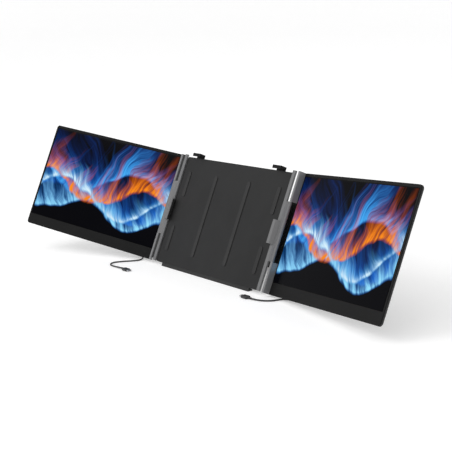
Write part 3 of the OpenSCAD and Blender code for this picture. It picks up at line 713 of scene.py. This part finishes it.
# %% [markdown]
# Two tables say which body and finish each solid has, and how wide its round is. The second one
# holds what is there twice, once on each side. The small pads and keys have the smallest rounds,
# and the foot, the covers and the columns the widest.

# %% Round the edges of the solids
# Node, body, finish, record's slot, width of the round in millimetres.
SOFT_EDGES = [
    ("front_plate", "bracket", "dark_alloy", "plate_alloy", 0.3),
    ("back_cover", "bracket", "dark_alloy", "plate_alloy", 0.5),
    ("lid_pads", "bracket", "silicone", "silicone", 0.3),
    ("desk_foot", "bracket", "silicone", "silicone", 0.6),
    ("kickstand_brackets", "bracket", "steel", "steel", 0.4),
    ("kickstand_panel", "kickstand", "dark_alloy", "plate_alloy", 0.5),
    ("kickstand_foot", "kickstand", "silicone", "silicone", 0.4)]
SIDE_SOFT_EDGES = [
    ("arm_plate", "arm", "steel", "steel", 0.25),
    ("hinge_column", "arm", "spine_alloy", "spine_alloy", 0.5),
    ("lid_clamp", "arm", "spine_alloy", "spine_alloy", 0.4),
    ("clamp_pad", "arm", "silicone", "silicone", 0.15),
    ("top_clip", "clip", "charcoal_coat", "charcoal_metal", 0.4),
    ("clip_pad", "clip", "silicone", "silicone", 0.15),
    ("upper_leaf", "monitor", "leaf_alloy", "spine_alloy", 0.4),
    ("lower_leaf", "monitor", "leaf_alloy", "spine_alloy", 0.4),
    ("front_bezel", "monitor", "charcoal_coat", "charcoal_metal", 0.45),
    ("rear_cover", "monitor", "rear_alloy", "charcoal_metal", 0.35),
    ("power_button", "power_button", "key_plastic", "key_plastic", 0.2),
    ("menu_key", "menu_key", "key_plastic", "key_plastic", 0.2)]

for row in SOFT_EDGES:
    softened(*row)
for side in SIDES:
    for node, body, *rest in SIDE_SOFT_EDGES:
        softened(f"{side}_{node}", f"{side}_{body}", *rest)
print("softened", len(SOFT_EDGES) + 2 * len(SIDE_SOFT_EDGES), "solids")

# %% [markdown]
# The side of a hinge leaf that faces the column lies in a deep groove, where shade falls. That side
# is given the housing's dark charcoal as painted shade, so that no bright metal shows there. A face
# of the leaf gets the dark finish where it looks inwards and lies behind the barrel.

# %% Painted shade on the inner sides of the leaves
LOOKS_INWARDS = 0.3

for side in SIDES:
    turn = MONITOR[side].to_3x3()
    inward, behind = turn @ Vector((-1, 0, 0)), turn @ Vector((0, 1, 0))
    barrel_back = moved([[0, HINGE_BARREL_R - SCREEN_DROP[side], 0]], MONITOR[side])[0]
    for leaf in ("upper_leaf", "lower_leaf"):
        mesh = bpy.data.objects[f"{side}_{leaf}_piece"].data
        # Painted shade: the housing's charcoal stands for the shade in the groove, on faces that
        # are metal.
        mesh.materials.append(FINISH["charcoal_coat"])
        painted_shade_faces = [face for face in mesh.polygons
                      if (face.center - Vector(barrel_back)).dot(behind) > 0
                      and face.normal.dot(inward) > LOOKS_INWARDS]
        for face in painted_shade_faces:
            face.material_index = 1
        print(side, leaf, "has", len(painted_shade_faces), "dark faces")

# %% [markdown]
# ## Seals in the hinge gaps
#
# Light would show between the left column and the leaves, because that hinge stands close to its
# column and the gap is a narrow one. A soft lip is pressed onto the column there and almost touches
# the barrels. On the right the lip of the housing ends in a small pad below the upper leaf. Each
# is one rounded strip, with its ends drawn in a little.

# %% Seals
COLUMN_OUT = 184.0
SEAL_T, SEAL_GAP = 0.9, 0.3
LEFT_SEALS = {"lower": (6.0, 57.2), "upper": (169.0, 224.5)}
LIP_PAD = (-15.9, -2.6), (0.4, 4.2), (167.75, 170.2)
STRIP_POWER, STRIP_POINTS = 6, 24
# Distance from an end, and share of the strip's thickness there.
STRIP_END = ((0, 0.8), (0.2, 0.95), (0.5, 1))


def rounded_strip(name, x_limits, y_limits, z_limits, matrix):
    """A loft along z whose section is a superellipse between the limits, thinner near its ends."""
    x, y, z = (np.array(v, float) for v in (x_limits, y_limits, z_limits))
    stations = ([(z[0] + d, share) for d, share in STRIP_END]
                + [(z[1] - d, share) for d, share in reversed(STRIP_END)])
    rings = []
    for place, share in stations:
        ring = superellipse(np.ptp(x) / 2, np.ptp(y) / 2 * share, STRIP_POWER, STRIP_POINTS)
        rings.append(np.column_stack([ring[:, 0] + x.mean(), ring[:, 1] + y.mean(),
                                      np.full(len(ring), place)]))
    return closed_loft(name, rings, matrix)


mirrored = PLATE @ Matrix.Diagonal((SIGN["left"], 1, 1, 1))
seal_x = COLUMN_OUT, HINGE_X["left"] - HINGE_BARREL_R - SEAL_GAP
seal_y = -HINGE_FORWARD["left"] - SEAL_T / 2, -HINGE_FORWARD["left"] + SEAL_T / 2
for place, seal_z in LEFT_SEALS.items():
    seal = rounded_strip(f"left_{place}_seal", seal_x, seal_y, seal_z, mirrored)
    join_frame(dress(seal, FINISH["silicone"]), "left_arm")
pad = rounded_strip("right_lip_pad", *LIP_PAD, MONITOR["right"])
join_frame(dress(pad, FINISH["charcoal_coat"]), "right_monitor")
print("seals:", len(LEFT_SEALS), "and one pad")

# %% [markdown]
# ## Solids that stay as they are
#
# Screws, pins, rails, ports and what is inside the monitors already have their true shape at this
# scale, so they only get their finish.

# %% Finish the other solids
PLAIN = {
    "cover_screws": "screw_steel", "kickstand_pin": "steel", "guide_rails": "rail_plastic",
    "arm_screws": "screw_steel", "leaf_screws": "screw_steel", "hinge_pin": "steel",
    "usb_port": "steel", "driver_board": "board", "lcd_panel": "panel_metal"}
PLUG_FINISH = {"plug_moulding": "cable_jacket", "laptop_moulding": "cable_jacket",
               "plug_shell": "steel", "laptop_shell": "steel"}

for node, solid in solids.items():
    kind = node.removeprefix("left_").removeprefix("right_")
    if kind in PLAIN:
        dress(solid, FINISH[PLAIN[kind]])
for side in SIDES:
    dress(cables[side], FINISH["cable_jacket"])
    for kind, name in PLUG_FINISH.items():
        dress(bpy.data.objects[f"{side}_{kind}"], FINISH[name])
print("kinds of plain solid:", len(PLAIN))

# %% [markdown]
# ## The springs of the top clips
#
# A thin extension spring pulls each top clip down. It is a helix: a circle walked while it climbs.
# On the real clip its foot stays on the bracket and its head rises with the clip, so it stretches
# evenly. Here it is one fixed piece.

# %% Clip springs
SPRING_R, SPRING_WIRE, SPRING_LEN, SPRING_TURNS = 1.05, 0.2, 17.0, 9
SPRING_GAP = 0.1
STEPS_IN_A_TURN, WIRE_SIDES = 20, 8
CLIP_X, CLIP_BOTTOM, SPRING_Y = 134.0, 188.0, 3.0

t = np.linspace(0, 1, SPRING_TURNS * STEPS_IN_A_TURN + 1)
a = 2 * math.pi * SPRING_TURNS * t
foot = CLIP_BOTTOM - SPRING_LEN + SPRING_WIRE + SPRING_GAP
climb = (SPRING_LEN - 2 * SPRING_WIRE - 2 * SPRING_GAP) * t
for side in SIDES:
    coil = np.stack([SIGN[side] * (CLIP_X + SPRING_R * np.cos(a)), SPRING_Y + SPRING_R * np.sin(a),
                     foot + climb], axis=-1)
    spring = tube(f"{side}_spring", moved(coil, PLATE), SPRING_WIRE * MM, WIRE_SIDES)
    join_frame(dress(spring, FINISH["steel"]), stands_for=f"{side}_clip_spring")
    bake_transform(spring)
print("springs:", SPRING_TURNS, "turns each")

# %% [markdown]
# ## The lit picture
#
# A screen that is on makes its own light, so its picture is an emission colour on black glass. The
# picture is drawn by formulas over the glass's own map: curtains of light that hang in the dark, as
# northern lights do. A curtain has a waving lower edge. Its light is strongest there and fades
# upwards, quickly or slowly from one strand to the next, and noise makes the strands.

# %% A curtain of light
EULER = 2.718
FIBRE_RISE = 1.6
SHORTEST, LONGEST = 0.22, 1.25
FAINTEST = 0.12
EDGE_SOFT = (-0.02, 0.015)


def curtain(tree, place, edge, lean, reach, strands, seed):
    """How much light falls at a place of the picture, from zero to one.

    The edge is a height, a sway, the number of turns across the picture and a phase: a height plus
    a sine. The light above it is e to the minus height over the strand's own reach, times the
    brightness of the strand. Each strand leans, so its place along the edge shifts as it rises.
    """
    u, v = place
    height, sway, turns, phase = edge
    turned = calc(tree, "MULTIPLY_ADD", u, turns, phase)
    wave = calc(tree, "MULTIPLY", calc(tree, "SINE", turned), sway)
    above = calc(tree, "SUBTRACT", calc(tree, "SUBTRACT", v, height), wave)
    along = calc(tree, "MULTIPLY_ADD", above, lean, u)
    fibre = add(tree, "CombineXYZ", {0: calc(tree, "MULTIPLY", along, strands),
                                     1: calc(tree, "MULTIPLY", above, FIBRE_RISE),
                                     2: seed}).outputs[0]
    length = add(tree, "TexNoise", {"Vector": fibre, "Scale": 0.35, "Detail": 3.0}).outputs[0]
    length = spread(tree, length, 0.36, 0.66, SHORTEST * reach, LONGEST * reach)
    fine = add(tree, "TexNoise", {"Vector": fibre, "Scale": 1.3, "Detail": 5.0,
                                  "Roughness": 0.65}).outputs[0]
    fine = spread(tree, fine, 0.30, 0.66, FAINTEST, 1.0)
    below = calc(tree, "DIVIDE", calc(tree, "MULTIPLY", above, -1.0), length)
    fade = calc(tree, "MINIMUM", calc(tree, "POWER", EULER, below), 1.0)
    lit = calc(tree, "MULTIPLY", fine, spread(tree, above, *EDGE_SOFT))
    return calc(tree, "MULTIPLY", fade, lit)


# Height, sway, turns, phase; lean; reach; strands; seed; colour far from the edge and near it.
CURTAINS = [
    ((0.30, 0.10, 3.1, 0.6), 0.9, 0.34, 9.0, 1.0, (0.002, 0.03, 0.20, 1), (0.01, 0.14, 0.62, 1)),
    ((0.52, 0.16, 3.9, 2.9), -0.7, 0.26, 12.0, 4.0, (0.004, 0.08, 0.45, 1), (0.06, 0.42, 0.92, 1)),
    ((0.20, 0.09, 5.2, 4.4), 0.5, 0.24, 11.0, 7.0, (0.01, 0.16, 0.60, 1), (0.30, 0.74, 0.98, 1)),
    ((0.40, 0.13, 4.4, 1.3), -0.4, 0.20, 14.0, 9.0, (0.75, 0.11, 0.0, 1), (1.0, 0.30, 0.01, 1)),
    ((0.33, 0.15, 4.0, 0.2), 0.8, 0.12, 13.0, 12.0, (0.10, 0.45, 0.85, 1), (0.72, 0.90, 0.98, 1))]
print("curtains:", len(CURTAINS))

# %% [markdown]
# Straight sines would look drawn with a ruler, so the whole map is first bent by a slow noise. And
# the map goes on past the picture, where the glass is black, so a mask cuts the light off at the
# picture's own edge.

# %% The picture's place
PICTURE_W, PICTURE_H = 344.2, 193.6
PICTURE_SHAPE = 16 / 9
BEND_SCALE, BEND_BY = 1.9, (0.35, 0.25, 0)
NOISE_MIDDLE = (0.5, 0.5, 0.5)


def bent_place(tree, uv):
    """Each place of the map, pushed by a noise that is zero on average, as two values."""
    noise = add(tree, "TexNoise", {"Vector": uv, "Scale": BEND_SCALE, "Detail": 2.0})
    push = calc_vector(tree, "SUBTRACT", noise.outputs["Color"], NOISE_MIDDLE)
    bent = calc_vector(tree, "ADD", uv, calc_vector(tree, "MULTIPLY", push, BEND_BY))
    return add(tree, "SeparateXYZ", {0: bent}).outputs[:2]


def within_picture(tree, uv):
    """One inside the picture and zero outside: the product of four tests, two for each way."""
    inside = 1.0
    for value, end in zip(add(tree, "SeparateXYZ", {0: uv}).outputs, (PICTURE_SHAPE, 1.0)):
        for test, limit in (("GREATER_THAN", 0.0), ("LESS_THAN", end)):
            inside = calc(tree, "MULTIPLY", inside, calc(tree, test, value, limit))
    return inside


print("picture", PICTURE_W, "by", PICTURE_H, "mm")

# %% [markdown]
# The curtains are laid over each other from back to front. The glass is coated against reflections,
# as a good monitor's is, so its specular level is low and the dark parts stay dark.

# %% Picture material
COVERS = (0.04, 0.55)
BRIGHTENS = (0.15, 0.75)
NIGHT, BLACK = (0.0, 0.0, 0.001, 1), (0, 0, 0, 1)
GLASS_BLACK = (0.001, 0.001, 0.0012, 1)
GLASS_ROUGH = (0.16, 0.22)


def picture_material():
    """Curtains on black glass.

    A curtain covers what is behind it as its light goes through one range, and turns from its far
    colour to its near one as the light goes through another.
    """
    material, tree, surface = new_material("lit_picture")
    uv = add(tree, "UVMap", uv_map="screen").outputs[0]
    place = bent_place(tree, uv)
    colour = NIGHT
    for edge, lean, reach, strands, seed, far, near in CURTAINS:
        light = curtain(tree, place, edge, lean, reach, strands, seed)
        colour = mix(tree, spread(tree, light, *COVERS), colour,
                     mix(tree, spread(tree, light, *BRIGHTENS), far, near))
    shown = mix(tree, within_picture(tree, uv), BLACK, colour)
    smear = use_group(tree, HANDLING, {"Place": object_place(tree), "Scale": 9.0})["Mask"]
    for socket, value in (("Emission Color", shown), ("Emission Strength", 1.0),
                          ("Base Color", GLASS_BLACK), ("Specular IOR Level", 0.02),
                          ("Roughness", spread(tree, smear, 0, 1, *GLASS_ROUGH))):
        feed(tree, surface.inputs[socket], value)
    return material


PICTURE = picture_material()
print(PICTURE.name, "has", len(PICTURE.node_tree.nodes), "nodes")

# %% [markdown]
# ## The glass
#
# The cover glass fills the bezel's opening. Its front is flat, and its edge is ground to a tiny
# round. It is a stack of rectangular rings: up the edge, over the round and in to the middle, so
# the map for the picture comes straight from each point's place across the screen.

# %% Rings and map of the glass
SIDE_RIM, TOP_RIM, CHIN = 3.5, 5.5, 22.5
GLASS_FRONT, GLASS_BACK, GLASS_SEAM = 0.2, 0.9, 0.1
# How far each ring lies in from the glass's edge, and how deep behind the bezel's front.
GLASS_RINGS = (
    (0.0, GLASS_BACK), (0.0, GLASS_FRONT + 0.12), (0.04, GLASS_FRONT + 0.04), (0.12, GLASS_FRONT),
    (3.0, GLASS_FRONT))


def rectangle_ring(inset, depth, along=24):
    """Points round a rectangle: each side is divided evenly, so rings match point for point."""
    edge = GLASS_SEAM + inset
    x0, x1 = SIDE_RIM + edge, MONITOR_W - SIDE_RIM - edge
    z0, z1 = CHIN + edge, MONITOR_H - TOP_RIM - edge
    t = np.linspace(0, 1, along, endpoint=False)
    one = np.ones(along)
    x = np.concatenate([x0 + (x1 - x0) * t, x1 * one, x1 + (x0 - x1) * t, x0 * one])
    z = np.concatenate([z0 * one, z0 + (z1 - z0) * t, z1 * one, z1 + (z0 - z1) * t])
    return np.stack([x, np.full(4 * along, depth), z], axis=-1)


def map_screen(piece, side):
    """A map named screen: each point's place in the picture, in heights of the picture.

    Both screens show the same picture the same way round, so on the left it runs from the outer
    edge inwards.
    """
    mesh = piece.data
    back = np.array(MONITOR[side].inverted())
    loops = np.empty(len(mesh.loops), np.int32)
    mesh.loops.foreach_get("vertex_index", loops)
    co = np.empty(len(mesh.vertices) * 3, np.float32)
    mesh.vertices.foreach_get("co", co)
    local = (co.reshape(-1, 3) / MM) @ back[:3, :3].T + back[:3, 3]
    across = MONITOR_W - local[:, 0] if side == "left" else local[:, 0]
    left_edge = (MONITOR_W - PICTURE_W) / 2
    bottom_edge = CHIN + (MONITOR_H - TOP_RIM - CHIN - PICTURE_H) / 2
    uv = np.stack([across - left_edge, local[:, 2] - bottom_edge], axis=-1) / PICTURE_H
    mesh.uv_layers.new(name="screen").data.foreach_set("uv", uv[loops].astype(np.float32).ravel())


print("glass edge is", GLASS_BACK - GLASS_FRONT, "mm deep")

# %% [markdown]
# Both glasses are made the same way and each is put in its monitor's place. The last ring's cap is
# the flat middle of the screen.

# %% Display glass
GLASS_SHARP_ABOVE = 50

for side in SIDES:
    rings = [rectangle_ring(inset, depth) for inset, depth in GLASS_RINGS]
    glass = closed_loft(f"{side}_screen", rings, MONITOR[side], sharp_above=GLASS_SHARP_ABOVE)
    map_screen(glass, side)
    join_frame(dress(glass, PICTURE), f"{side}_monitor", f"{side}_display_glass")
    print(glass.name, "has", len(glass.data.polygons), "faces")

# %% [markdown]
# ## Floor
#
# The extender stands on a wide pale sweep. The floor also glows a little, but only where it is
# seen, so it looks white and still lights nothing. A sweep is a profile with a quarter circle in
# it, carried sideways.

# %% Floor
FLOOR_HALF = 6.0
FLOOR_LIFT = 0.28
FLOOR_PALE = (0.86, 0.86, 0.86, 1)
TURN_R, TURN_STARTS, WALL_HEIGHT = 2.0, 4.0, 4.0
TURN_STEPS = 24
WHITE = (1, 1, 1, 1)


def sweep(name):
    """A floor that rises behind the object in a quarter circle: a profile carried along x."""
    turn = np.linspace(0, math.pi / 2, TURN_STEPS)
    y = np.concatenate([[-FLOOR_HALF], TURN_STARTS + TURN_R * np.sin(turn), [TURN_STARTS + TURN_R]])
    z = np.concatenate([[0], TURN_R * (1 - np.cos(turn)), [TURN_R + WALL_HEIGHT]])
    x = np.array([-FLOOR_HALF * 2, FLOOR_HALF * 2])
    points = np.stack([np.repeat(x, len(y)), np.tile(y, 2), np.tile(z, 2)], axis=-1)
    return make_piece(name, points, grid_faces(2, len(y), False))


def seen_directly(tree):
    """One for rays from the camera, a mirror or a glass, and zero for light landing on things."""
    path = add(tree, "LightPath").outputs
    seen = calc(tree, "MAXIMUM", path["Is Camera Ray"], path["Is Glossy Ray"])
    return calc(tree, "MAXIMUM", seen, path["Is Transmission Ray"])


floor_material, tree, surface = new_material("pale_floor")
surface.inputs["Base Color"].default_value = FLOOR_PALE
surface.inputs["Roughness"].default_value = 0.9
surface.inputs["Specular IOR Level"].default_value = 0.1
glow = calc(tree, "MULTIPLY", seen_directly(tree), FLOOR_LIFT)
lift = add(tree, "Emission", {"Color": WHITE, "Strength": glow})
both = add(tree, "AddShader", {0: surface.outputs[0], 1: lift.outputs[0]})
out = next(n for n in tree.nodes if n.type == "OUTPUT_MATERIAL")
tree.links.new(both.outputs[0], out.inputs["Surface"])
dress(sweep("floor"), floor_material)
print("floor", FLOOR_HALF * 4, "m wide")

# %% [markdown]
# ## Light
#
# An even white surround lights the extender at a plain level, so that a colour looks about as it
# was chosen, and it is pure white where it is seen. One large soft lamp from the left front gives
# the metal its highlights and the floor a soft shadow.

# %% Light
WORLD_LIGHT = 0.85
KEY_PLACE, KEY_AIM = (-1.2, -2.2, 2.6), (0, 0, 0.1)
KEY_SIZE, KEY_POWER = 1.6, 26

world = bpy.data.worlds.new("studio")
bpy.context.scene.world = world
world.use_nodes = True
tree = world.node_tree
background = next(n for n in tree.nodes if n.type == "BACKGROUND")
background.inputs["Color"].default_value = WHITE
whiter = calc(tree, "MULTIPLY_ADD", seen_directly(tree), 1 - WORLD_LIGHT, WORLD_LIGHT)
tree.links.new(whiter, background.inputs["Strength"])


def soft_lamp(name, place, aim, size, power):
    """A square area lamp at a place, turned so that it faces the point it aims at."""
    data = bpy.data.lights.new(name, "AREA")
    data.size = size
    data.energy = power
    lamp = bpy.data.objects.new(name, data)
    bpy.context.collection.objects.link(lamp)
    lamp.location = place
    lamp.rotation_mode = "QUATERNION"
    lamp.rotation_quaternion = (Vector(aim) - Vector(place)).to_track_quat("-Z", "Y")
    return lamp


key = soft_lamp("key", KEY_PLACE, KEY_AIM, KEY_SIZE, KEY_POWER)
print("key lamp:", key.data.energy, "W,", round(key.data.size, 2), "m wide")

# %% [markdown]
# ## Finish
#
# The view transform stays plain, so that a colour is shown as it was written.

# %% View transform
bpy.context.scene.view_settings.view_transform = "Standard"
